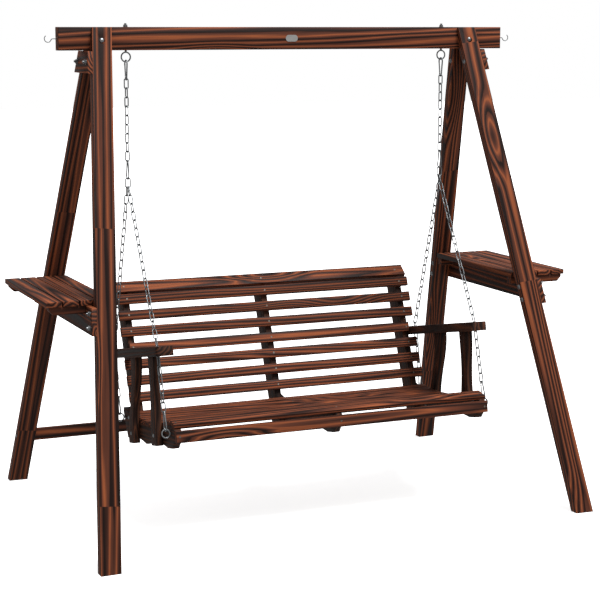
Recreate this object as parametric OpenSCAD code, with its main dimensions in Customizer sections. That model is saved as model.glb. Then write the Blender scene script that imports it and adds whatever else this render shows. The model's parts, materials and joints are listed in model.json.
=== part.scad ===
// Two-seat wooden bench swing, hung on chains from an A-frame stand with a side table on each side.
// Origin: on the ground under the middle of the beam. +X runs along the beam,
// +Y points to the back of the bench, +Z is up.

/* [Stand] */
// Height of the stand, from the ground to the top of the beam
stand_h = 1750; // [1450:10:2100]
// Length of the beam
beam_len = 1730; // [1640:10:2080]
// Thickness of the beam, front to back
beam_t = 40; // [33:1:60]
// Depth of the beam, top to bottom
beam_h = 80; // [66:1:110]
// Width of a leg, seen from the front
leg_w = 70; // [58:1:90]
// Thickness of a leg
leg_t = 36; // [30:1:48]
// Distance over the outer faces of the legs, at the top of the beam
leg_spread_top = 1496; // [1440:2:1800]
// Sideways splay of each pair of legs, in degrees
splay = 6; // [3:0.5:9]
// Front-to-back lean of each leg, in degrees
lean = 19.3; // [16:0.1:23]
// Thickness of the tie boards and of the side rails
side_board_t = 18; // [15:1:30]
// Depth of a tie board
tie_h = 76; // [56:1:90]
// Depth of a side rail
rail_h = 91; // [76:1:110]
// Height of the upper edge of a side rail
rail_top = 828; // [690:1:990]
// Height of the middle of the rear stretcher
stretcher_z = 190; // [150:5:400]
// Depth of the rear stretcher
stretcher_h = 45; // [37:1:70]
// Thickness of the rear stretcher
stretcher_t = 22; // [18:1:30]

/* [Side tables] */
// Length of a table, front to back
table_len = 590; // [440:5:595]
// Slats in a table
table_slats = 4; // [3:1:5]
// Width of a table slat
table_slat_w = 54; // [45:1:65]
// Gap between table slats
table_gap = 4.7; // [3:0.1:12]
// Thickness of a table slat
table_slat_t = 18; // [15:1:22]
// Depth of a batten under a table
batten_h = 27; // [22:1:34]
// Width of a batten
batten_w = 30; // [22:1:40]

/* [Bench] */
// Length of the slats of the seat and the back
bench_len = 1200; // [1000:10:1240]
// Backward tilt of the bench as it hangs, in degrees
bench_tilt = 11; // [6:0.5:14]
// Thickness of the seat supports, the back uprights and the arm posts
board_t = 25; // [20:1:30]
// Radius of the hollow in the seat supports
seat_hollow_r = 967; // [800:1:1200]
// Depth from the apron to the lowest point of the hollow
seat_low_u = 235; // [200:1:260]
// Height of the hollow over the bottom of the supports
seat_low_w = 67.4; // [60:0.1:90]
// Slats in the hollow of the seat
seat_slats_n = 8; // [6:1:8]
// Width of a seat slat
seat_slat_w = 50; // [41:1:54]
// Middle-to-middle distance of the seat slats
seat_slat_pitch = 58; // [56:0.5:60]
// Thickness of every bench slat
slat_t = 16; // [13:1:20]
// Recline of the back from a square seat, in degrees
recline = 10.7; // [6:0.1:16]
// Slats in the back, under the cap board
back_slats_n = 7; // [5:1:8]
// Width of a back slat
back_slat_w = 36.4; // [30:0.2:50]
// Middle-to-middle distance of the back slats
back_slat_pitch = 61.4; // [51:0.2:74]
// Width of the cap board
cap_w = 52; // [43:1:64]
// Thickness of the cap board
cap_t = 18; // [15:1:24]
// Depth of a back upright, front to back
upright_d = 75; // [62:1:84]
// Distance from the chains' middle to the outer edge of an armrest
arm_edge = 20; // [18:1:32]
// Thickness of an armrest
arm_t = 33; // [27:1:40]
// Height of the top of the armrests over the bottom of the supports
arm_top = 351; // [330:1:380]
// Width of an arm post at its ends
post_w = 60; // [50:1:70]

/* [Chains and hardware] */
// Wire of the chain links
chain_wire = 4; // [3.3:0.1:4.8]
// Inside length of a chain link
link_inner = 32; // [26.6:0.1:38.4]
// Outside width of a chain link
link_w = 18; // [15:0.5:21.6]
// Play between two links that pull on each other
link_play = 0.3; // [0.2:0.1:0.6]
// Links in each hanging chain over the junction
hanger_links = 9; // [7:2:11]
// Twist of a chain at the middle of each run, in degrees
chain_twist = 26; // [0:1:30]
// Wire of the eyes and snap hooks
hook_wire = 5; // [4:0.5:6]
// Length of a snap hook, wire middle to wire middle
hook_len = 68; // [60:1:80]
// Outside diameter of an eye at the bench
eye_d = 34; // [29:1:40]
// Outside diameter of an eye under the beam
beam_eye_d = 38; // [32:1:46]
// Diameter of the frame bolts and of the eye bolts' shanks
bolt_d = 8; // [6.5:0.5:10]
// Diameter of the bench bolts
small_bolt_d = 6; // [5:0.5:8]
// Diameter of the screws
screw_d = 4; // [3:0.5:5]
// Space around a bolt or a screw in its hole
hole_play = 0.3; // [0.2:0.1:0.6]

/* [Hidden] */
$fn = 32;
fine = 360;                  // facets of the widest curves

wood = "saddlebrown";
dark_wood = "sienna";
zinc = "silver";

far = 3000;                  // longer than anything here
past = 1;                    // how far a cutter passes a face

// hardware
link_pitch = link_inner - link_play;
link_gap = chain_wire + link_play;
link_bend = (link_w - chain_wire) / 2;
eye_bend = (eye_d - hook_wire) / 2;
beam_eye_bend = (beam_eye_d - hook_wire) / 2;
eye_clear = 0.4;             // between an eye and the seat support beside it
eye_neck = 4.5;              // from the beam's lower face to the ring under it
hook_gap = hook_wire + link_play;
mixed_gap = (hook_wire + chain_wire) / 2 + link_play;
hook_big = 13;               // bend radius at the wide end of a snap hook
hook_small = 6;              // bend radius at its narrow end
gate_pivot = 9;              // from the narrow bend's middle to the gate's pivot
gate_end = 4;                // from the stub that the gate closes on to the wide bend's middle
gate_play = 0.5;
gate_slimmer = 0.6;          // how much thinner a gate's wire is than its hook's
pin_d = 2;
junction_bend = 9;
junction_play = 1.2;         // room for two links side by side in the junction link
side_step = (chain_wire + junction_play) / 2;
head_r = bolt_d * 1.12;
head_h = bolt_d * 0.6;
small_head_r = small_bolt_d * 1.12;
small_head_h = small_bolt_d * 0.6;
washer_t = 1.6;
nut_width = 1.65;            // nut across its flats, in bolt diameters
nut_height = 0.8;
stud_out = 5;                // how far a bolt stands out of its nut
screw_head_d = 7;
screw_head_h = 2.4;
screw_len = 34;

// stand
leg_seat_z = -beam_h / cos(splay);
leg_len = 1.15 * stand_h;
recess = 4;                  // depth of the flats under the beam bolts' heads and nuts
flat_d = 2.6 * bolt_d;
tie_drop = 3;                // from the beam's lower face to the tie boards
leg_heel = 0.02;             // slack between a leg and the beam it is cut around
tie_mid = plane_z(stand_h - beam_h) - tie_drop - tie_h / 2;
rail_mid = plane_z(rail_top) - rail_h / 2;
rail_bolt_step = rail_h / 4;
beam_bolt_drop = 0.58 * beam_h;   // from the beam's upper face to the bolts through it
bolt_grip = leg_out(plane_z(stand_h - beam_bolt_drop)) - recess;
stretcher_grip = 55;         // how far a stretcher bolt reaches into the stretcher
table_inner_x = side_x(rail_top) - leg_w - 4;
table_w = table_slats * (table_slat_w + table_gap) - table_gap;
batten_y = table_len / 2 - 20;
batten_inset = 4;            // from the table's inner edge to the battens' ends
batten_short = 14;           // how much shorter a batten is than its table is wide
batten_bevel = 16;
hook_shank = 34;             // length of an end hook's shank in the beam
hook_wire_end = 3;           // wire of the end hooks
badge_size = [47, 24, 1.2];

// hanging chains, from the top down; every height is the middle of a wire
chain_x = bench_len / 2 + eye_d / 2 + side_step + eye_clear;
hinge_z = stand_h - beam_h - eye_neck - beam_eye_d + hook_wire / 2;
top_hook_z = hinge_z + hook_gap;
chain_top_z = top_hook_z - hook_len + mixed_gap;
chain_end_z = chain_top_z - hanger_links * link_pitch - link_gap;
junction_hook_z = chain_end_z + mixed_gap;
junction_top_z = junction_hook_z - hook_len + mixed_gap;
junction_z = junction_top_z - link_inner - chain_wire;

// seat chains: links above and below the bend at the armrest, and their leans in degrees
front_upper_n = 19;
front_lower_n = 7;
rear_upper_n = 20;
rear_lower_n = 6;
front_upper_a = 29.8;
front_lower_a = 16.2;

// bench, in its own frame: u runs back from the apron, w runs up from the supports' bottom
front_eye = [57.8, 53.7];
rear_eye = [574, 99];
apron_w = [20, 62];
apron_t = 18;
nose_slat = [42.7, 75.3];    // middle of the canted front slat's underside
nose_cant = 21;
front_arch = [[105, 0], [335, 6]];    // ends of the two shallow arches under a seat support
rear_arch = [[350, 6], [560, 21.4]];
first_slat_u = 93;
last_slat_w = 0.62 * seat_slat_w;
back_foot = [506.4, 84];     // a point on the front of the uprights
upright_foot = -56;          // from there down to the uprights' lower ends
back_first = 85;             // from there up to the middle of the lowest slat
cap_gap = 12;
cap_forward = 8;
cap_cant = 41.6;
back_top = back_first + (back_slats_n - 1) * back_slat_pitch + back_slat_w / 2;
support_x = bench_len / 2 - board_t;
arm_u = [30, 618];
arm_round = 12;
arm_hole = [22, 40];
arm_w = chain_x + arm_edge - support_x;
post_foot = 8;               // from the supports' bottom up to the posts' lower ends
post_waist = 9;
front_post = [178, 150];     // middle of the post at its foot and at its top
rear_post = [445, 353];
post_bolt_w = 44;
upright_bolts = [[527, 58], [540, 96]];
upright_x = support_x - board_t;
arm_gap = 0.3;               // between an armrest and the slat that ends beside it

function side_x(z) = leg_spread_top / 2 + (stand_h - z) * tan(splay);
function plane_z(z) = -(stand_h - z) / cos(splay);
function leg_out(z) = beam_t / 2 + (leg_seat_z - z) * tan(lean) + leg_t / cos(lean);
function leg_mid(z) = leg_out(z) - leg_t / cos(lean) / 2;
function seat_angle(i) = (seat_low_u - first_slat_u - i * seat_slat_pitch) / seat_hollow_r * 180 / PI;
function down(a, d) = [-d * sin(a), -d * cos(a)];
function lean_of(p, q) = atan2(p[0] - q[0], p[1] - q[1]);
function turned(p) = [p[0] * cos(bench_tilt) + p[1] * sin(bench_tilt),
    p[1] * cos(bench_tilt) - p[0] * sin(bench_tilt)];
function unturned(p) = [p[0] * cos(bench_tilt) - p[1] * sin(bench_tilt),
    p[1] * cos(bench_tilt) + p[0] * sin(bench_tilt)];

// from the junction to the bend: an odd run bends in the next link's wire, an even one in its last
function even_gap(n) = n % 2 == 0 ? link_gap : 0;
function upper_run(n) = n * link_pitch + even_gap(n) - chain_wire - junction_play;
// from the bend to the middle of the eye
function lower_run(n, upper_n) = n * link_pitch - even_gap(upper_n) + link_gap - mixed_gap
    + hook_len - hook_gap + eye_bend;
// where two runs that start at p and q meet, on the side towards the back
function meet(p, q, a, b) = let (d = norm(q - p), t = (a * a - b * b + d * d) / (2 * d),
    h = sqrt(a * a - t * t), e = (q - p) / d) p + t * e + h * [-e[1], e[0]];

// in the chain plane: y runs back and z up, both from the junction
front_bend = down(front_upper_a, upper_run(front_upper_n));
front_eye_at = front_bend + down(front_lower_a, lower_run(front_lower_n, front_upper_n));
bench_at = front_eye_at - turned(front_eye);
rear_eye_at = bench_at + turned(rear_eye);
rear_bend = meet([0, 0], rear_eye_at, upper_run(rear_upper_n), lower_run(rear_lower_n, rear_upper_n));
rear_upper_a = lean_of([0, 0], rear_bend);
rear_lower_a = lean_of(rear_bend, rear_eye_at);

function in_bench_frame(p) = unturned(p - bench_at);
// depth at which a chain crosses the middle of the armrest, from its bend and its eye
function cross_u(bend, eye) = let (b = in_bench_frame(bend), o = in_bench_frame([0, 0]),
    middle = arm_top - arm_t / 2,
    q = b[1] > middle ? eye : o) b[0] + (q[0] - b[0]) * (middle - b[1]) / (q[1] - b[1]);
front_hole_u = cross_u(front_bend, front_eye);
rear_hole_u = cross_u(rear_bend, rear_eye);

// ---------- general shapes ----------

module on_side(s) mirror([s < 0 ? 1 : 0, 0, 0]) children();

module both_sides() for (s = [-1, 1]) on_side(s) children();

module rod(d, h) cylinder(d = d, h = h);

// a bend of round wire in the XZ plane, about the Y axis, from a0 over da degrees
module bend(r, wire, a0, da)
    rotate([90, 0, 0]) rotate([0, 0, a0]) rotate_extrude(angle = da) translate([r, 0]) circle(d = wire);

// stations along an arc in the XZ plane: the place, and the angle of the arc's radius there
function arc_path(middle, r, a0, a1, steps) = [for (i = [0 : steps]) let (a = a0 + (a1 - a0) * i / steps)
    [middle[0] + r * cos(a), middle[1] + r * sin(a), a]];

// a bent wire through such stations, in the XZ plane
module wire(path, d) {
    sides = 12;
    last = len(path) - 1;
    polyhedron(
        points = [for (p = path, j = [0 : sides - 1]) let (t = 360 * j / sides, r = d / 2 * cos(t))
            [p[0] + r * cos(p[2]), d / 2 * sin(t), p[1] + r * sin(p[2])]],
        faces = concat([[for (j = [0 : sides - 1]) j]],
            [for (i = [0 : last - 1], j = [0 : sides - 1]) let (k = (j + 1) % sides)
                [i * sides + j, (i + 1) * sides + j, (i + 1) * sides + k, i * sides + k]],
            [[for (j = [sides - 1 : -1 : 0]) last * sides + j]]));
}

// a chain link in the XZ plane, hanging from the middle of its top wire
module link(r = link_bend) {
    run = link_inner + chain_wire - 2 * r;
    translate([0, 0, -r]) bend(r, chain_wire, 0, 180);
    translate([0, 0, -r - run]) bend(r, chain_wire, 180, 180);
    for (s = [-1, 1]) translate([s * r, 0, -r - run]) rod(chain_wire, run);
}

// a run of links; every second one is turned, first = 1 turns the top one, and the run
// twists by up to an angle at its middle
module chain(n, twist, first = 0)
    for (i = [0 : n - 1])
        translate([0, 0, -i * link_pitch])
            rotate([0, 0, 90 * ((i + first) % 2) + twist * sin(180 * i / (n - 1))]) link();

// a bolt along +Z with a domed head under the origin
module dome_bolt(d, length, r, h) {
    dome = (r * r + h * h) / (2 * h);
    rod(d, length);
    intersection() {
        translate([0, 0, dome - h]) sphere(r = dome);
        translate([0, 0, -h]) cylinder(r = r, h = h);
    }
}

module washer_and_nut(d) {
    difference() {
        cylinder(d = 2.2 * d, h = washer_t);
        translate([0, 0, -past]) rod(d + 2 * hole_play, washer_t + 2 * past);
    }
    translate([0, 0, washer_t]) difference() {
        cylinder(d = nut_width * d / cos(30), h = nut_height * d, $fn = 6);
        translate([0, 0, -past]) rod(d, nut_height * d + 2 * past);
    }
}

function nut_stack(d) = washer_t + nut_height * d + stud_out;

// a screw driven down from the origin, its head flush
module screw() {
    translate([0, 0, -screw_head_h]) cylinder(d = screw_head_d, h = screw_head_h);
    translate([0, 0, -screw_len]) rod(screw_d, screw_len - screw_head_h);
}

module screw_hole() {
    translate([0, 0, -screw_head_h - hole_play]) rod(screw_head_d + 2 * hole_play, screw_head_h + past);
    translate([0, 0, -screw_len - past]) rod(screw_d + 2 * hole_play, screw_len);
}

// ---------- stand ----------

module in_leg_plane() translate([leg_spread_top / 2, 0, stand_h]) rotate([0, -splay, 0]) children();

module beam_bolt_places() both_sides()
    translate([leg_spread_top / 2 - leg_w / 2 + beam_bolt_drop * tan(splay), 0, stand_h - beam_bolt_drop])
        rotate([-90, 0, 0]) children();

module beam_bolt_hole() {
    translate([0, 0, -far / 2]) rod(bolt_d + 2 * hole_play, far);
    for (m = [0, 1]) mirror([0, 0, m]) translate([0, 0, bolt_grip]) cylinder(d = flat_d, h = far);
}

// the bolts through the side boards and a leg, along the leg plane's X from the leg's outer face
module side_bolt_places() for (s = [-1, 1]) {
    translate([0, s * leg_mid(tie_mid), tie_mid]) rotate([0, 90, 0]) children();
    for (t = [-1, 1]) {
        z = rail_mid + t * rail_bolt_step;
        translate([0, s * leg_mid(z), z]) rotate([0, 90, 0]) children();
    }
}

module side_bolt_hole() translate([0, 0, -far / 2]) rod(bolt_d + 2 * hole_play, far);

module stretcher_bolt_place() {
    z = plane_z(stretcher_z);
    in_leg_plane() translate([0, leg_mid(z), z]) rotate([0, -90, 0]) children();
}

module stretcher_bolt_hole()
    translate([0, 0, -past]) rod(small_bolt_d + 2 * hole_play, leg_w + stretcher_grip + 2 * past);

module beam_space(slack) translate([-far / 2, -beam_t / 2 - slack, stand_h - beam_h - slack])
    cube([far, beam_t + 2 * slack, 2 * beam_h]);

module leg(side, s) color(wood) on_side(side) difference() {
    intersection() {
        in_leg_plane() mirror([0, s > 0 ? 1 : 0, 0]) translate([0, -beam_t / 2, leg_seat_z])
            rotate([-lean, 0, 0]) translate([-leg_w, -leg_t, -leg_len]) cube([leg_w, leg_t, 2 * leg_len]);
        translate([0, s < 0 ? -far : 0, 0]) cube([far, far, stand_h]);
    }
    beam_space(leg_heel);
    beam_bolt_places() beam_bolt_hole();
    in_leg_plane() side_bolt_places() side_bolt_hole();
    if (s > 0) stretcher_bolt_place() stretcher_bolt_hole();
}

module end_hook_place() translate([beam_len / 2, 0, stand_h - beam_h / 2]) children();

module beam() color(wood) difference() {
    translate([-beam_len / 2, -beam_t / 2, stand_h - beam_h]) cube([beam_len, beam_t, beam_h]);
    beam_bolt_places() beam_bolt_hole();
    both_sides() {
        translate([chain_x, 0, 0]) rod(bolt_d + 2 * hole_play, far);
        end_hook_place() translate([-hook_shank - past, 0, 0]) rotate([0, 90, 0])
            rod(hook_wire_end + 2 * hole_play, far);
    }
}

// a board on the outer faces of a pair of legs, its ends in line with the legs
module side_board(middle, h) {
    top = middle + h / 2;
    low = middle - h / 2;
    rotate([90, 0, 90]) linear_extrude(side_board_t) polygon([[-leg_out(top), top],
        [leg_out(top), top], [leg_out(low), low], [-leg_out(low), low]]);
}

module tie_board(side) color(wood) on_side(side) in_leg_plane() difference() {
    side_board(tie_mid, tie_h);
    side_bolt_places() side_bolt_hole();
}

module side_rail(side) color(wood) on_side(side) difference() {
    in_leg_plane() difference() {
        side_board(rail_mid, rail_h);
        side_bolt_places() side_bolt_hole();
    }
    translate([0, -far / 2, rail_top]) cube(far);
    for (s = [-1, 1]) translate([0, s * batten_y - batten_w / 2 - hole_play, rail_top - batten_h - hole_play])
        cube([far, batten_w + 2 * hole_play, far]);
}

module rear_stretcher() color(wood) difference() {
    translate([-far / 2, leg_mid(plane_z(stretcher_z)) - stretcher_t / 2, stretcher_z - stretcher_h / 2])
        cube([far, stretcher_t, stretcher_h]);
    both_sides() {
        in_leg_plane() translate([-leg_w, -far / 2, -2 * far]) cube([far, far, 4 * far]);
        stretcher_bolt_place() stretcher_bolt_hole();
    }
}

module table_slat_places() for (i = [0 : table_slats - 1])
    translate([table_inner_x + i * (table_slat_w + table_gap), 0, rail_top]) children();

module table_screw_places() table_slat_places() for (s = [-1, 1])
    translate([table_slat_w / 2, s * batten_y, table_slat_t]) children();

module table_slats_of(side) color(dark_wood) on_side(side) difference() {
    table_slat_places() translate([0, -table_len / 2, 0]) cube([table_slat_w, table_len, table_slat_t]);
    table_screw_places() screw_hole();
}

module table_battens(side) color(dark_wood) on_side(side) difference() {
    long = table_w - batten_short;
    for (s = [-1, 1])
        translate([table_inner_x + batten_inset, s * batten_y + batten_w / 2, rail_top - batten_h])
            rotate([90, 0, 0]) linear_extrude(batten_w) polygon([[0, 0], [long - batten_bevel, 0],
            [long, 0.6 * batten_h], [long, batten_h], [0, batten_h]]);
    table_screw_places() screw_hole();
}

module table_screws() color(zinc) both_sides() table_screw_places() screw();

module frame_bolts() color(zinc) {
    beam_bolt_places() translate([0, 0, -bolt_grip])
        dome_bolt(bolt_d, 2 * bolt_grip + nut_stack(bolt_d), head_r, head_h);
    both_sides() {
        in_leg_plane() side_bolt_places() translate([0, 0, -leg_w])
            dome_bolt(bolt_d, leg_w + side_board_t + nut_stack(bolt_d), head_r, head_h);
        stretcher_bolt_place()
            dome_bolt(small_bolt_d, leg_w + stretcher_grip, small_head_r, small_head_h);
    }
}

module frame_nuts() color(zinc) {
    beam_bolt_places() translate([0, 0, bolt_grip]) washer_and_nut(bolt_d);
    both_sides() in_leg_plane() side_bolt_places() translate([0, 0, side_board_t]) washer_and_nut(bolt_d);
}

module eye(r) bend(r, hook_wire, 0, 360);

module beam_eye_bolts() color(zinc) both_sides() translate([chain_x, 0, hinge_z + beam_eye_bend]) {
    eye(beam_eye_bend);
    translate([0, 0, beam_eye_bend]) rod(bolt_d, hook_wire / 2 + eye_neck + beam_h + nut_stack(bolt_d));
}

module beam_eye_nuts() color(zinc) both_sides() translate([chain_x, 0, stand_h]) washer_and_nut(bolt_d);

// a cup hook in each end of the beam, open at the top
module end_hooks() color(zinc) both_sides() end_hook_place() {
    small = 6;
    large = 12;
    neck = 15;
    swing = 20;
    middle = [neck + (small + large) * cos(swing), -small + (small + large) * sin(swing)];
    wire(concat([[-hook_shank, 0, 90]], arc_path([neck, -small], small, 90, swing, 5),
        arc_path(middle, -large, swing, swing + 215, 16)), hook_wire_end);
}

module blank_badge() color(zinc) translate([0, -beam_t / 2, stand_h - beam_h / 2]) rotate([90, 0, 0])
    linear_extrude(badge_size[2]) {
        straight = badge_size[0] - badge_size[1];
        square([straight, badge_size[1]], center = true);
        for (s = [-1, 1]) translate([s * straight / 2, 0]) circle(d = badge_size[1]);
    }

// ---------- snap hooks ----------

hook_run = hook_len - hook_big - hook_small;
hook_side_a = asin((hook_big - hook_small) / hook_run);
hook_side_len = hook_run * cos(hook_side_a);
gate_d = hook_wire - gate_slimmer;

// along the gate's side of a hook, from its narrow end to its wide one
module hook_side() translate([hook_small * cos(hook_side_a), 0, -hook_run - hook_small * sin(hook_side_a)])
    rotate([0, hook_side_a, 0]) children();

// the hook's wire, from the stub by the gate's pivot around to the stub that the gate closes on
function hook_path() = let (a = hook_side_a, foot = [hook_small * cos(a), -hook_run - hook_small * sin(a)],
    up = [sin(a), cos(a)], start = foot + (gate_pivot - gate_d / 2 - gate_play) * up,
    end = foot + (hook_side_len - gate_end) * up) concat(
        [[start[0], start[1], -a]],
        arc_path([0, -hook_run], hook_small, -a, a - 180, 10),
        arc_path([0, 0], hook_big, a - 180, -a - 360, 16),
        [[end[0], end[1], -a - 360]]);

// a snap hook in the YZ plane, hanging from the middle of its wide end's wire, with its gate at +Y
module snap_hook() rotate([0, 0, 90]) translate([0, 0, -hook_big]) wire(hook_path(), hook_wire);

// a gate, closed, with its pin
module gate() rotate([0, 0, 90]) translate([0, 0, -hook_big]) hook_side() translate([0, 0, gate_pivot]) {
    sphere(d = gate_d);
    rod(gate_d, hook_side_len - gate_pivot - gate_end - gate_play);
    translate([0, -hook_wire / 2, 0]) rotate([-90, 0, 0]) rod(pin_d, hook_wire);
}

// ---------- hangers ----------

module at_hanger(side, z) on_side(side) translate([chain_x, 0, z]) children();

module at_top_hook(side) at_hanger(side, top_hook_z) children();

module at_junction_hook(side) at_hanger(side, junction_hook_z - hook_len) mirror([0, 0, 1]) children();

module top_hook(side) color(zinc) at_top_hook(side) snap_hook();

module junction_hook(side) color(zinc) at_junction_hook(side) snap_hook();

module hanger_chain(side) color(zinc) at_hanger(side, chain_top_z) chain(hanger_links, side * chain_twist);

module junction_link(side) color(zinc) at_hanger(side, junction_top_z) link(junction_bend);

// ---------- bench ----------

module in_bench() translate([0, bench_at[0], junction_z + bench_at[1]])
    rotate([-bench_tilt, 0, 0]) children();

// an outline in u and w, made into a board that runs from x0 towards +X
module board(x0) translate([x0, 0, 0]) rotate([90, 0, 90]) linear_extrude(board_t) children();

// a slat that lies on the plane z = 0, its length along X
module slat(width, t, half) translate([-half, -width / 2, 0]) cube([2 * half, width, t]);

// where a seat slat's lower edges rest on the hollow, so that its flat middle bridges it
module at_seat_slat(i) translate([0, seat_low_u, seat_low_w + seat_hollow_r])
    rotate([-seat_angle(i), 0, 0])
        translate([0, 0, -sqrt(pow(seat_hollow_r, 2) - pow(seat_slat_w / 2, 2))]) children();

module at_last_slat() at_seat_slat(seat_slats_n - 1)
    translate([0, (last_slat_w - seat_slat_w) / 2, 0]) children();

module at_nose_slat() translate([0, nose_slat[0], nose_slat[1]]) rotate([nose_cant, 0, 0]) children();

// on the front of the uprights, a distance up the back: Y points up the back and Z forward
module on_back(d) translate([0, back_foot[0], back_foot[1]]) rotate([-recline, 0, 0])
    translate([0, 0, d]) rotate([90, 0, 0]) children();

// on the underside of the cap board, with the same axes
module at_cap() on_back(back_top + cap_gap) translate([0, 0, cap_forward])
    rotate([recline - cap_cant, 0, 0]) translate([0, cap_w / 2, -cap_t]) children();

support_rows = [-support_x - board_t / 2, board_t / 2, support_x + board_t / 2];
upright_rows = [-upright_x - board_t / 2, -board_t / 2, upright_x + board_t / 2];

module seat_screw_places() for (x = support_rows) translate([x, 0, 0]) {
    for (i = [0 : seat_slats_n - 2]) at_seat_slat(i) translate([0, 0, slat_t]) children();
    at_last_slat() translate([0, 0, slat_t]) children();
    at_nose_slat() translate([0, 0, slat_t]) children();
    translate([0, 0, (apron_w[0] + apron_w[1]) / 2]) rotate([90, 0, 0]) children();
}

module back_screw_places() for (x = upright_rows) translate([x, 0, 0]) {
    for (i = [0 : back_slats_n - 1]) on_back(back_first + i * back_slat_pitch)
        translate([0, 0, slat_t]) children();
    at_cap() translate([0, 0, cap_t]) children();
}

// middle of an arm post, at a height w
function post_u(ends, w) = let (t = (w - post_foot) / (arm_top - arm_t - post_foot))
    ends[0] + (ends[1] - ends[0]) * (1 - cos(180 * t)) / 2;

module arm_screw_places() for (ends = [front_post, rear_post])
    translate([bench_len / 2 + board_t / 2, ends[1], arm_top]) children();

// the bench bolts run along X, from their heads inwards
module post_bolt_places() both_sides() for (ends = [front_post, rear_post])
    translate([bench_len / 2 + board_t, post_u(ends, post_bolt_w), post_bolt_w])
        rotate([0, -90, 0]) children();

module upright_bolt_places() for (p = upright_bolts) {
    both_sides() translate([bench_len / 2, p[0], p[1]]) rotate([0, -90, 0]) children();
    translate([board_t, p[0], p[1]]) rotate([0, -90, 0]) children();
}

module bench_bolt_holes() {
    deep = 2 * board_t + 2 * past;
    post_bolt_places() translate([0, 0, -past]) rod(small_bolt_d + 2 * hole_play, deep);
    upright_bolt_places() translate([0, 0, -past]) rod(small_bolt_d + 2 * hole_play, deep);
    for (p = [front_eye, rear_eye]) both_sides() translate([bench_len / 2 + past, p[0], p[1]])
        rotate([0, -90, 0]) rod(bolt_d + 2 * hole_play, deep);
}

// the space of a round rod of radius r with its top at q and p, rising to a height over them
module arch(p, q, rise) {
    chord = norm(q - p);
    r = (chord * chord / 4 + rise * rise) / (2 * rise);
    e = (q - p) / chord;
    translate((p + q) / 2 + (r - rise) * [e[1], -e[0]]) circle(r = r, $fn = fine);
}

// a seat support seen from its side: two shallow arches below, the hollow and the cant above
module support_outline() difference() {
    polygon([[apron_t, 24], [27, 24], [52, 0], front_arch[0], front_arch[1], rear_arch[0], [568, 22],
        [602, 119], [596, 134], [480, 134], [60, 120], [apron_t, 68]]);
    arch(front_arch[0], front_arch[1], 14);
    arch(rear_arch[0], rear_arch[1], 12);
    translate([seat_low_u, seat_low_w + seat_hollow_r]) circle(r = seat_hollow_r, $fn = fine);
    translate([nose_slat[0], nose_slat[1]]) rotate(nose_cant)
        translate([seat_slat_w / 2 - 100, 0]) square(100);
}

module seat_support(x0) color(dark_wood) in_bench() difference() {
    board(x0) support_outline();
    bench_bolt_holes();
    seat_screw_places() screw_hole();
}

module seat_slats() color(wood) in_bench() difference() {
    union() {
        for (i = [0 : seat_slats_n - 2]) at_seat_slat(i) slat(seat_slat_w, slat_t, bench_len / 2);
        at_last_slat() slat(last_slat_w, slat_t, bench_len / 2);
    }
    seat_screw_places() screw_hole();
}

module seat_nose_slat() color(wood) in_bench() difference() {
    at_nose_slat() slat(seat_slat_w, slat_t, bench_len / 2);
    seat_screw_places() screw_hole();
}

module seat_apron() color(wood) in_bench() difference() {
    translate([-bench_len / 2, 0, apron_w[0]]) cube([bench_len, apron_t, apron_w[1] - apron_w[0]]);
    seat_screw_places() screw_hole();
}

// a back upright: a straight board, cut on top to seat the cap board
module back_upright(x0) color(dark_wood) in_bench() difference() {
    translate([x0, 0, 0]) on_back(0) translate([0, upright_foot, -upright_d])
        cube([board_t, back_top + cap_w - upright_foot, upright_d]);
    at_cap() translate([-far / 2, -far / 2, 0]) cube(far);
    bench_bolt_holes();
    back_screw_places() screw_hole();
}

// a back slat at the height of the armrests ends beside them
function beside_arm(i) = abs(back_foot[1] + (back_first + i * back_slat_pitch) * cos(recline)
    - arm_top + arm_t / 2) < (back_slat_w + arm_t) / 2 + arm_gap;

module back_slats() color(wood) in_bench() difference() {
    for (i = [0 : back_slats_n - 1]) on_back(back_first + i * back_slat_pitch)
        slat(back_slat_w, slat_t, beside_arm(i) ? support_x - arm_gap : bench_len / 2);
    back_screw_places() screw_hole();
}

module back_cap() color(wood) in_bench() difference() {
    at_cap() slat(cap_w, cap_t, bench_len / 2);
    back_screw_places() screw_hole();
}

// a slot through an armrest, for a chain that runs step aside of the chains' middle
module arm_slot(u, step) translate([chain_x + step, u, arm_top - arm_t - past]) {
    half = (arm_hole[1] - arm_hole[0]) / 2;
    for (s = [-1, 1]) translate([0, s * half, 0]) rod(arm_hole[0], arm_t + 2 * past);
    translate([-arm_hole[0] / 2, -half, 0]) cube([arm_hole[0], 2 * half, arm_t + 2 * past]);
}

module armrest(side) color(dark_wood) on_side(side) in_bench() difference() {
    translate([support_x, arm_u[0], arm_top - arm_t]) linear_extrude(arm_t) {
        for (x = [arm_round, arm_w - arm_round]) translate([x, arm_round]) circle(r = arm_round);
        translate([arm_round, 0]) square([arm_w - 2 * arm_round, 2 * arm_round]);
        translate([0, arm_round]) square([arm_w, arm_u[1] - arm_u[0] - arm_round]);
    }
    arm_slot(front_hole_u, -side_step);
    arm_slot(rear_hole_u, side_step);
    arm_screw_places() screw_hole();
}

// an arm post seen from its side: an S between its ends, slimmer at its waist
module post_outline(ends) {
    steps = 24;
    h = arm_top - arm_t - post_foot;
    function half_w(t) = post_w / 2 - post_waist * (1 - cos(360 * t)) / 2;
    function edge(s, i) = [post_u(ends, post_foot + i / steps * h) + s * half_w(i / steps),
        post_foot + i / steps * h];
    polygon([for (i = [0 : steps]) edge(-1, i), for (i = [steps : -1 : 0]) edge(1, i)]);
}

module arm_posts(side) color(dark_wood) on_side(side) in_bench() difference() {
    union() {
        board(bench_len / 2) post_outline(front_post);
        board(bench_len / 2) post_outline(rear_post);
    }
    bench_bolt_holes();
    arm_screw_places() screw_hole();
}

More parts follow.
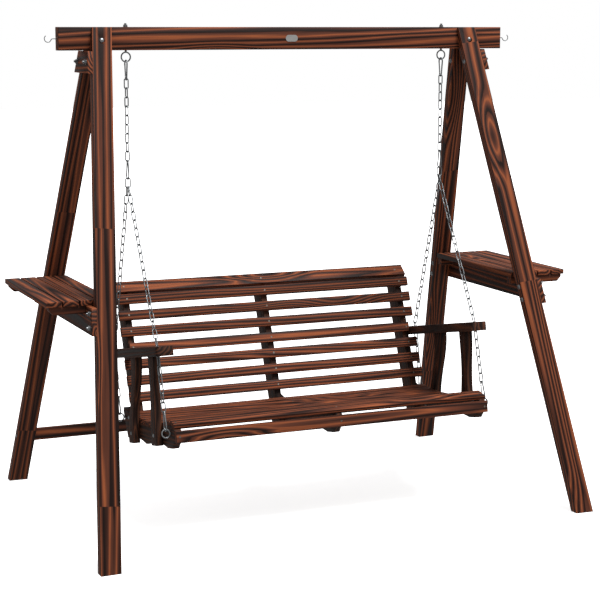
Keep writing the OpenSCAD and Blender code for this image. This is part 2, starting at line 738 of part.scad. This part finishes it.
module bench_bolts() color(zinc) in_bench() {
    long = 2 * board_t + nut_stack(small_bolt_d);
    post_bolt_places() dome_bolt(small_bolt_d, long, small_head_r, small_head_h);
    upright_bolt_places() dome_bolt(small_bolt_d, long, small_head_r, small_head_h);
}

module bench_nuts() color(zinc) in_bench() {
    post_bolt_places() translate([0, 0, 2 * board_t]) washer_and_nut(small_bolt_d);
    upright_bolt_places() translate([0, 0, 2 * board_t]) washer_and_nut(small_bolt_d);
    both_sides() {
        translate([support_x, front_eye[0], front_eye[1]]) rotate([0, -90, 0]) washer_and_nut(bolt_d);
        translate([upright_x, rear_eye[0], rear_eye[1]]) rotate([0, -90, 0]) washer_and_nut(bolt_d);
    }
}

module bench_screws() color(zinc) in_bench() {
    seat_screw_places() screw();
    back_screw_places() screw();
    both_sides() arm_screw_places() screw();
}

// ---------- seat chains, each from the junction link to its eye ----------

// a place in a chain's plane, turned by the chain's lean
module in_chain(side, step, p, a) on_side(side)
    translate([chain_x + step, p[0], junction_z + p[1]]) rotate([-a, 0, 0]) children();

module front_eye_place(side) in_chain(side, -side_step, front_eye_at, front_lower_a) children();

module rear_eye_place(side) in_chain(side, side_step, rear_eye_at, rear_lower_a) children();

module bench_eye(step, grip) {
    eye(eye_bend);
    inside = chain_x + step - eye_bend - bench_len / 2 + grip + nut_stack(bolt_d);
    translate([-eye_bend, 0, 0]) rotate([0, -90, 0]) rod(bolt_d, inside);
}

module bench_eye_bolts() color(zinc) for (side = [-1, 1]) {
    front_eye_place(side) bench_eye(-side_step, board_t);
    rear_eye_place(side) bench_eye(side_step, 2 * board_t);
}

module chain_with_bend(side, step, upper_n, upper_a, bend_at, lower_n, lower_a) {
    twist = side * chain_twist;
    in_chain(side, step, [0, 0], upper_a) translate([0, 0, 2 * side_step]) chain(upper_n, twist, 1);
    in_chain(side, step, bend_at, lower_a) translate([0, 0, even_gap(upper_n)])
        chain(lower_n, twist, upper_n + 1);
}

module seat_chains(side) color(zinc) {
    chain_with_bend(side, -side_step, front_upper_n, front_upper_a, front_bend, front_lower_n, front_lower_a);
    chain_with_bend(side, side_step, rear_upper_n, rear_upper_a, rear_bend, rear_lower_n, rear_lower_a);
}

module on_eye() translate([0, 0, eye_bend - hook_gap]) mirror([0, 0, 1]) children();

module seat_hooks(side) color(zinc) {
    front_eye_place(side) on_eye() snap_hook();
    rear_eye_place(side) on_eye() snap_hook();
}

module gate_top(side) color(zinc) at_top_hook(side) gate();

module gate_junction(side) color(zinc) at_junction_hook(side) gate();

module gate_front(side) color(zinc) front_eye_place(side) on_eye() gate();

module gate_rear(side) color(zinc) rear_eye_place(side) on_eye() gate();

beam();
leg(-1, -1);  // leg_front_left
leg(1, -1);  // leg_front_right
leg(-1, 1);  // leg_rear_left
leg(1, 1);  // leg_rear_right
tie_board(-1);  // tie_board_left
tie_board(1);  // tie_board_right
side_rail(-1);  // side_rail_left
side_rail(1);  // side_rail_right
rear_stretcher();
table_slats_of(-1);  // table_slats_left
table_slats_of(1);  // table_slats_right
table_battens(-1);  // table_battens_left
table_battens(1);  // table_battens_right
frame_bolts();
frame_nuts();
table_screws();
beam_eye_bolts();
beam_eye_nuts();
end_hooks();
blank_badge();
top_hook(-1);  // top_hook_left
top_hook(1);  // top_hook_right
hanger_chain(-1);  // hanger_chain_left
hanger_chain(1);  // hanger_chain_right
junction_hook(-1);  // junction_hook_left
junction_hook(1);  // junction_hook_right
junction_link(-1);  // junction_link_left
junction_link(1);  // junction_link_right
seat_support(-bench_len / 2);  // seat_support_left
seat_support(0);  // seat_support_middle
seat_support(support_x);  // seat_support_right
seat_slats();
seat_nose_slat();
seat_apron();
back_upright(-support_x);  // back_upright_left
back_upright(-board_t);  // back_upright_middle
back_upright(upright_x);  // back_upright_right
back_slats();
back_cap();
armrest(-1);  // armrest_left
armrest(1);  // armrest_right
arm_posts(-1);  // arm_posts_left
arm_posts(1);  // arm_posts_right
bench_bolts();
bench_nuts();
bench_screws();
bench_eye_bolts();
seat_chains(-1);  // seat_chains_left
seat_chains(1);  // seat_chains_right
seat_hooks(-1);  // seat_hooks_left
seat_hooks(1);  // seat_hooks_right
gate_top(-1);  // gate_top_left
gate_top(1);  // gate_top_right
gate_junction(-1);  // gate_junction_left
gate_junction(1);  // gate_junction_right
gate_front(-1);  // gate_front_left
gate_front(1);  // gate_front_right
gate_rear(-1);  // gate_rear_left
gate_rear(1);  // gate_rear_right
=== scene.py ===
import json
import math
import random

import bmesh
import bpy
import numpy as np
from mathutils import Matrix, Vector


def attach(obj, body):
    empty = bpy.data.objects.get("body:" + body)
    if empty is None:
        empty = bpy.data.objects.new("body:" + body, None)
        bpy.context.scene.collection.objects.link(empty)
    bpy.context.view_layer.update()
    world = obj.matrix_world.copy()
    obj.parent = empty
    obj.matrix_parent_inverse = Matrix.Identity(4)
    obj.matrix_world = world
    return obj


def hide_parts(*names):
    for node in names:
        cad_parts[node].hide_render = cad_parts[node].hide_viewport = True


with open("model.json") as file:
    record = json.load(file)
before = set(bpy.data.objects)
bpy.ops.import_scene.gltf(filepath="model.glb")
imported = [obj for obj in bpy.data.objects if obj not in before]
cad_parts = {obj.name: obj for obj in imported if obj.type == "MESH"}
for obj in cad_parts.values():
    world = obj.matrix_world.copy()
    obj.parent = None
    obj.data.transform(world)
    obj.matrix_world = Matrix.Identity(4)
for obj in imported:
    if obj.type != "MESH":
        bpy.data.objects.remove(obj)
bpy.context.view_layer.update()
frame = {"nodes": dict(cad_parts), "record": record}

# a long lens from the front left, at the height of the beam
view = {
    "eye": (-2.3652, -5.6235, 1.7460),   # metres
    "turn": 23.167,                      # degrees from +Y towards +X
    "down": 9.148,                       # degrees below the horizon
    "lens": 99.69,                       # mm on the sensor below
    "sensor": 36,
    "shiftY": -0.0072,
    "clipEnd": 60,
}
camera = bpy.data.cameras.new("productCamera")
camera.lens = view["lens"]
camera.sensor_width = view["sensor"]
camera.shift_y = view["shiftY"]
camera.clip_end = view["clipEnd"]
cameraObject = bpy.data.objects.new("productCamera", camera)
cameraObject.location = view["eye"]
cameraObject.rotation_euler = (math.radians(90 - view["down"]), 0, -math.radians(view["turn"]))
bpy.context.scene.collection.objects.link(cameraObject)
bpy.context.scene.camera = cameraObject
print("camera set")


def hexColour(text):                     # an sRGB hex value as linear red, green, blue and 1
    parts = [int(text[i:i + 2], 16) / 255 for i in (1, 3, 5)]
    return [p / 12.92 if p <= 0.04045 else ((p + 0.055) / 1.055) ** 2.4 for p in parts] + [1]


def addNode(tree, kind, inputs, out=0, **settings):
    # adds a node and gives back one of its outputs
    # an input is a number, a vector, a hex colour or the socket that it links from
    node = tree.nodes.new("ShaderNode" + kind)
    stops = settings.pop("stops", [])
    for name, value in settings.items():
        setattr(node, name, value)
    for socket, value in inputs.items():
        if isinstance(value, bpy.types.NodeSocket):
            tree.links.new(value, node.inputs[socket])
        else:
            node.inputs[socket].default_value = hexColour(value) if isinstance(value, str) else value
    for i, (place, value) in enumerate(stops):
        element = node.color_ramp.elements[i] if i < 2 else node.color_ramp.elements.new(place)
        element.position = place
        element.color = hexColour(value) if isinstance(value, str) else (value, value, value, 1)
    return node.outputs[out]


def newMaterial(name):
    material = bpy.data.materials.new(name)
    material.use_nodes = True
    tree = material.node_tree
    return material, tree, tree.nodes["Principled BSDF"].inputs


# Fir, charred and brushed, then oiled in a red brown: the soft early wood is worn down between proud,
# almost black lines of late wood, so that the eye sees strong stripes that part around the knots.
firLook = {
    "ringSpacing": 14,                   # mm; real rings are 2 to 4 mm, drawn coarser so that they show
    "wander": 22,                        # mm that the rings stray, so that they are wide and narrow in turn
    "wanderSize": (1500, 50, 50),        # mm along, across and through the board
    "shake": 3.5,                        # mm, smaller and livelier
    "shakeSize": (420, 17, 17),
    "knotSize": (760, 190, 190),         # mm; one knot or none in each such space
    "knotReach": 0.30,                   # of that space, how far a knot pushes the rings aside
    "knotPush": 30,                      # mm
    "knotCore": 0.055,                   # of that space, how far a knot is dark
    "knotLight": 0.25,                   # what is left of the light in its middle
    "fibreSize": (70, 1.7, 1.7),         # mm; real fibres are finer than shows
    "blotchSize": (420, 70, 70),         # mm of a lighter or darker patch
    "detail": {"wander": 1.5, "shake": 2.0, "fibre": 3.0, "blotch": 2.0},
    "jointSpacing": 930,                 # mm between the finger joints of a long board
    "elsewhere": (3.0, 0.05, 0.05),      # metres, how far off the wood past a joint may be from
    "rings": [(0.0, "#4e2a1d"), (1.0, "#4e2a1d"), (0.16, "#5c3223"), (0.33, "#93502f"), (0.45, "#6b3926"),
              (0.62, "#45251a"), (0.76, "#23120d"), (0.90, "#190d0a")],
    "relief": [(0.0, 0.15), (1.0, 0.15), (0.35, 0.0), (0.72, 0.8), (0.90, 1.0)],
    "light": {"least": 0.28, "fibre": 0.70, "blotch": 0.56, "board": 0.30},
    "shade": 1.0,
    "roughness": (0.50, 0.68),
    "bump": 0.8,                         # mm of relief between early and late wood
    "bumpStrength": 0.5,
    "fibreRelief": 0.5,                  # of that relief
    "ior": 1.5,
    "specular": 0.16,                    # oil that has sunk in leaves hardly any gloss
}


def makeFir(name, look):
    material, tree, shader = newMaterial(name)
    mm = 1000                            # the grain coordinates are metres
    place = addNode(tree, "Attribute", {}, out="Vector", attribute_name="grain")
    tone = addNode(tree, "Attribute", {}, out="Fac", attribute_name="boardTone")

    # past each finger joint the board goes on with wood from elsewhere
    along = addNode(tree, "SeparateXYZ", {0: place})
    lengths = addNode(tree, "Math", {0: along, 1: mm / look["jointSpacing"]}, operation="MULTIPLY")
    piece = addNode(tree, "Math", {0: lengths}, operation="FLOOR")
    chance = addNode(tree, "TexWhiteNoise", {"W": piece}, out="Color", noise_dimensions="1D")
    moved = addNode(tree, "VectorMath", {0: chance, 1: look["elsewhere"], 2: place},
                    operation="MULTIPLY_ADD")
    across = addNode(tree, "SeparateXYZ", {0: moved}, out=1)
    through = addNode(tree, "SeparateXYZ", {0: moved}, out=2)

    # stretched noises: one socket for each kind of unevenness
    uneven = {}
    for kind, detail in look["detail"].items():
        scale = [mm / size for size in look[kind + "Size"]]
        spot = addNode(tree, "VectorMath", {0: moved, 1: scale}, operation="MULTIPLY")
        uneven[kind] = addNode(tree, "TexNoise", {"Vector": spot, "Scale": 1.0, "Detail": detail})

    # the distance from the middle of the tree, strayed, shaken and pushed aside by the knots
    scale = [mm / size for size in look["knotSize"]]
    spot = addNode(tree, "VectorMath", {0: moved, 1: scale}, operation="MULTIPLY")
    knots = addNode(tree, "TexVoronoi", {"Vector": spot, "Scale": 1.0})
    push = addNode(tree, "MapRange",
                   {0: knots, 1: 0.0, 2: look["knotReach"], 3: look["knotPush"] / mm, 4: 0.0},
                   interpolation_type="SMOOTHSTEP")
    flat = addNode(tree, "CombineXYZ", {0: 0.0, 1: across, 2: through})
    radius = addNode(tree, "VectorMath", {0: flat}, out="Value", operation="LENGTH")
    radius = addNode(tree, "Math", {0: radius, 1: push}, operation="ADD")
    for kind in ("wander", "shake"):     # twice, because a noise strays by half to each side
        radius = addNode(tree, "Math", {0: uneven[kind], 1: look[kind] * 2 / mm, 2: radius},
                         operation="MULTIPLY_ADD")
    rings = addNode(tree, "Math", {0: radius, 1: mm / look["ringSpacing"]}, operation="MULTIPLY")
    ring = addNode(tree, "Math", {0: rings}, operation="FRACT")
    colour = addNode(tree, "ValToRGB", {0: ring}, stops=look["rings"])
    relief = addNode(tree, "ValToRGB", {0: ring}, stops=look["relief"])

    # lighter and darker: fibres, patches, boards, and the dark middle of a knot
    light = look["light"]["least"]
    for kind, source in (("fibre", uneven["fibre"]), ("blotch", uneven["blotch"]), ("board", tone)):
        light = addNode(tree, "Math", {0: source, 1: look["light"][kind], 2: light},
                        operation="MULTIPLY_ADD")
    core = addNode(tree, "MapRange",
                   {0: knots, 1: 0.0, 2: look["knotCore"], 3: look["knotLight"], 4: look["shade"]})
    light = addNode(tree, "Math", {0: light, 1: core}, operation="MULTIPLY")
    stained = addNode(tree, "VectorMath", {0: colour, "Scale": light}, operation="SCALE")
    tree.links.new(stained, shader["Base Color"])

    low, high = look["roughness"]
    tree.links.new(addNode(tree, "MapRange", {0: relief, 3: high, 4: low}), shader["Roughness"])
    height = addNode(tree, "Math", {0: uneven["fibre"], 1: look["fibreRelief"], 2: relief},
                     operation="MULTIPLY_ADD")
    bump = addNode(tree, "Bump",
                   {"Strength": look["bumpStrength"], "Distance": look["bump"] / mm, "Height": height})
    tree.links.new(bump, shader["Normal"])
    shader["IOR"].default_value = look["ior"]
    shader["Specular IOR Level"].default_value = look["specular"]
    return material


# only the legs are finger-jointed: elsewhere the joints lie further apart than any board is long
wholeLook = {**firLook, "jointSpacing": 90000, "shade": 0.95}
benchLook = {**wholeLook, "shade": 0.98, "ringSpacing": 10, "wander": 18, "wanderSize": (1200, 36, 36)}
# the bench's frame boards took up more of the char, and show little of the red
frameLook = {
    **wholeLook,
    "shade": 0.62,
    "rings": [(0.0, "#40291f"), (1.0, "#40291f"), (0.2, "#4d3024"), (0.36, "#6e4029"), (0.5, "#4a2d22"),
              (0.66, "#33201a"), (0.82, "#1c110e")],
}
standFir = makeFir("brushedOiledFirStand", firLook)
solidFir = makeFir("brushedOiledFirWhole", wholeLook)
benchFir = makeFir("brushedOiledFirBench", benchLook)
frameFir = makeFir("charredFirBenchFrame", frameLook)

# Zinc-plated steel, drawn and bent: a grey shine, dulled in soft patches where the plating is thin.
zincLook = {
    "bright": "#96999b",
    "dull": "#767a7c",
    "patch": 22,                         # mm
    "patchStops": (0.38, 0.60),          # of the noise, where the dull ends and the bright begins
    "grit": 1.4,                         # mm; plating is finer than shows
    "gritDepth": 0.2,                    # mm
    "gritStrength": 0.1,
    "roughness": (0.34, 0.48),
}
# Screw heads of dark passivated zinc: small, dull, brownish dots.
screwLook = {**zincLook, "bright": "#8d877f", "dull": "#5f5750", "patch": 3, "grit": 0.8,
             "roughness": (0.40, 0.58)}


def makeZinc(name, look):
    material, tree, shader = newMaterial(name)
    place = addNode(tree, "TexCoord", {}, out="Object")
    patches = addNode(tree, "TexNoise", {"Vector": place, "Scale": 1000 / look["patch"], "Detail": 3.0})
    grit = addNode(tree, "TexNoise", {"Vector": place, "Scale": 1000 / look["grit"], "Detail": 2.0})
    dullEnd, brightStart = look["patchStops"]
    colour = addNode(tree, "ValToRGB", {0: patches},
                     stops=[(dullEnd, look["dull"]), (brightStart, look["bright"])])
    tree.links.new(colour, shader["Base Color"])
    low, high = look["roughness"]
    tree.links.new(addNode(tree, "MapRange", {0: patches, 3: low, 4: high}), shader["Roughness"])
    bump = addNode(tree, "Bump",
                   {"Strength": look["gritStrength"], "Distance": look["gritDepth"] / 1000, "Height": grit})
    tree.links.new(bump, shader["Normal"])
    shader["Metallic"].default_value = 1.0
    return material


zincSteel = makeZinc("zincPlatedSteel", zincLook)
darkScrew = makeZinc("passivatedScrewSteel", screwLook)

# Aluminium plate, brushed along its length and blank: a pale satin oval with fine straight scratches.
plateLook = {
    "bright": "#dcdcda",
    "dull": "#c3c3c0",
    "scratchSize": (30, 30, 0.5),        # mm along X, Y and Z; real scratches are finer than shows
    "scratchDepth": 0.1,                 # mm
    "scratchStrength": 0.1,
    "roughness": 0.34,
}


def makePlate(name, look):
    material, tree, shader = newMaterial(name)
    place = addNode(tree, "TexCoord", {}, out="Object")
    scale = [1000 / size for size in look["scratchSize"]]
    spot = addNode(tree, "VectorMath", {0: place, 1: scale}, operation="MULTIPLY")
    scratches = addNode(tree, "TexNoise", {"Vector": spot, "Scale": 1.0, "Detail": 2.0})
    colour = addNode(tree, "ValToRGB", {0: scratches}, stops=[(0.3, look["dull"]), (0.7, look["bright"])])
    tree.links.new(colour, shader["Base Color"])
    bump = addNode(tree, "Bump", {"Strength": look["scratchStrength"],
                                  "Distance": look["scratchDepth"] / 1000, "Height": scratches})
    tree.links.new(bump, shader["Normal"])
    shader["Roughness"].default_value = look["roughness"]
    shader["Metallic"].default_value = 1.0
    return material


brushedPlate = makePlate("brushedAluminiumPlate", plateLook)
print("materials made")

# every wooden node is replaced by boards with eased edges, and each board carries its own grain
boardLook = {
    "ease": 1.6,                         # mm of rounding on a board's edges
    "easeSteps": 2,
    "sharp": 30,                         # degrees between faces at an edge that gets eased
    "flat": 0.5,                         # degrees under which faces count as one
    "shortest": 12,                      # mm; shorter edges, such as those of screw holes, aren't eased
    "pithNear": 28,                      # mm from a board's middle to the middle of its tree's rings
    "pithFar": 95,
    "taper": 0.035,                      # slope of the board against its tree
    "treeLength": 40,                    # metres of wood that the boards are cut from
    "smoothUnder": 40,                   # degrees between faces
    "weld": 0.02,                        # mm
    "seed": 11,
}
hardwareLook = {"smoothUnder": 50}


def islandsOf(mesh):                     # the separate solids of a bmesh, as lists of vertices
    mesh.verts.ensure_lookup_table()
    seen = set()
    for start in mesh.verts:
        if start.index in seen:
            continue
        seen.add(start.index)
        island, queue = [], [start]
        while queue:
            vert = queue.pop()
            island.append(vert)
            for edge in vert.link_edges:
                other = edge.other_vert(vert)
                if other.index not in seen:
                    seen.add(other.index)
                    queue.append(other)
        yield island


def boardAxes(island):                   # the board's middle and its long, wide and thin directions
    points = np.array([v.co for v in island])
    middle = (points.min(0) + points.max(0)) / 2
    directions = np.linalg.eigh(np.cov((points - points.mean(0)).T))[1]
    return middle, directions[:, 2], directions[:, 1], directions[:, 0]


def loadNode(node):                      # a node's mesh, welded and with its flat faces whole again
    mesh = bmesh.new()
    mesh.from_mesh(frame["nodes"][node].data)
    bmesh.ops.remove_doubles(mesh, verts=mesh.verts, dist=boardLook["weld"] / 1000)
    bmesh.ops.dissolve_limit(mesh, angle_limit=math.radians(boardLook["flat"]),
                             verts=mesh.verts, edges=mesh.edges)
    return mesh


def finishPiece(mesh, node, material, smoothUnder):
    data = bpy.data.meshes.new(node + "Mesh")
    for face in mesh.faces:
        face.smooth = True
    for edge in mesh.edges:
        if len(edge.link_faces) == 2:
            edge.smooth = edge.calc_face_angle(0) < math.radians(smoothUnder)
    mesh.to_mesh(data)
    mesh.free()
    data.materials.append(material)
    piece = bpy.data.objects.new(node + "Piece", data)
    bpy.context.scene.collection.objects.link(piece)
    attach(piece, bodyOf[node])
    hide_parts(node)
    return piece


bodyOf = {n: body for body, nodes in frame["record"]["behaviour"]["bodies"].items() for n in nodes}
slotOf = {p["node"]: p["material_slot"] for p in frame["record"]["subparts"]}


def makeBoards(node, material, luck):
    mesh = loadNode(node)
    eased = []
    for edge in mesh.edges:
        if len(edge.link_faces) != 2 or edge.calc_face_angle(0) < math.radians(boardLook["sharp"]):
            continue
        if edge.calc_length() * 1000 > boardLook["shortest"]:
            eased.append(edge)
    grain = mesh.verts.layers.float_vector.new("grain")
    tone = mesh.verts.layers.float.new("boardTone")
    for island in islandsOf(mesh):
        middle, along, across, thin = boardAxes(island)
        turn = luck.uniform(0, 2 * math.pi)
        far = luck.uniform(boardLook["pithNear"], boardLook["pithFar"]) / 1000
        start = luck.uniform(0, boardLook["treeLength"])
        lean = luck.uniform(-1, 1) * boardLook["taper"]
        shade = luck.uniform(0, 1)
        for vert in island:
            p = np.array(vert.co) - middle
            a = float(p @ along)
            vert[grain] = (a + start, float(p @ across) + far * math.cos(turn) + lean * a,
                           float(p @ thin) + far * math.sin(turn))
            vert[tone] = shade
    bmesh.ops.bevel(mesh, geom=eased, offset=boardLook["ease"] / 1000, segments=boardLook["easeSteps"],
                    profile=0.5, affect="EDGES", clamp_overlap=True, loop_slide=True)
    return finishPiece(mesh, node, material, boardLook["smoothUnder"])


frameBoards = ("seat_support", "back_upright", "armrest", "arm_posts")
luck = random.Random(boardLook["seed"])
for node in sorted(frame["nodes"]):
    if slotOf[node] == "stand_wood":
        makeBoards(node, standFir if node.startswith("leg") else solidFir, luck)
    elif slotOf[node] == "table_wood":
        makeBoards(node, solidFir, luck)
    elif slotOf[node] == "bench_wood":
        makeBoards(node, frameFir if node.startswith(frameBoards) else benchFir, luck)
print("boards made")

for node in sorted(frame["nodes"]):
    if node.endswith("_screws"):
        finishPiece(loadNode(node), node, darkScrew, hardwareLook["smoothUnder"])
    elif slotOf[node] == "galvanised_steel":
        finishPiece(loadNode(node), node, zincSteel, hardwareLook["smoothUnder"])
    elif slotOf[node] == "badge_plate":
        finishPiece(loadNode(node), node, brushedPlate, hardwareLook["smoothUnder"])
print("hardware made")

# a white light table under a wide lamp
studio = {
    "floor": "#f4f4f4",
    "floorSize": 30,                     # metres from the middle to an edge
    "glow": 0.75,                        # of the floor, so that shadows stay faint
    "fill": 0.40,                        # light from all round
    "backdrop": 1.0,                     # what is seen behind the object
}
floorSheet, tree, shader = newMaterial("whiteLightTable")
shader["Base Color"].default_value = hexColour(studio["floor"])
shader["Roughness"].default_value = 0.95
shader["Specular IOR Level"].default_value = 0.1
shader["Emission Color"].default_value = (1, 1, 1, 1)
shader["Emission Strength"].default_value = studio["glow"]
floorMesh = bmesh.new()
bmesh.ops.create_grid(floorMesh, x_segments=1, y_segments=1, size=studio["floorSize"])
floorData = bpy.data.meshes.new("studioFloor")
floorMesh.to_mesh(floorData)
floorMesh.free()
floorData.materials.append(floorSheet)
floor = bpy.data.objects.new("studioFloor", floorData)
bpy.context.scene.collection.objects.link(floor)
floor.visible_diffuse = False            # it lights nothing from below
floor.visible_glossy = False             # and bare metal doesn't mirror it, so that chains stay grey

world = bpy.data.worlds.new("softStudio")
world.use_nodes = True
tree = world.node_tree
seen = addNode(tree, "LightPath", {}, out="Is Camera Ray")
strength = addNode(tree, "Math", {0: seen, 1: studio["backdrop"] - studio["fill"], 2: studio["fill"]},
                   operation="MULTIPLY_ADD")
tree.nodes["Background"].inputs["Color"].default_value = (1, 1, 1, 1)
tree.links.new(strength, tree.nodes["Background"].inputs["Strength"])
bpy.context.scene.world = world

key = {
    "from": (0.8, -1.25, 3.0),           # high up in front, and a little to the right
    "strength": 3.9,
    "angle": 24,                         # degrees across, which softens the shadows
}
keyLamp = bpy.data.lights.new("keySun", "SUN")
keyLamp.energy = key["strength"]
keyLamp.angle = math.radians(key["angle"])
keyObject = bpy.data.objects.new("keySun", keyLamp)
keyObject.rotation_euler = (-Vector(key["from"])).to_track_quat("-Z", "Y").to_euler()
bpy.context.scene.collection.objects.link(keyObject)
bpy.context.scene.view_settings.view_transform = "Standard"
print("studio lit")
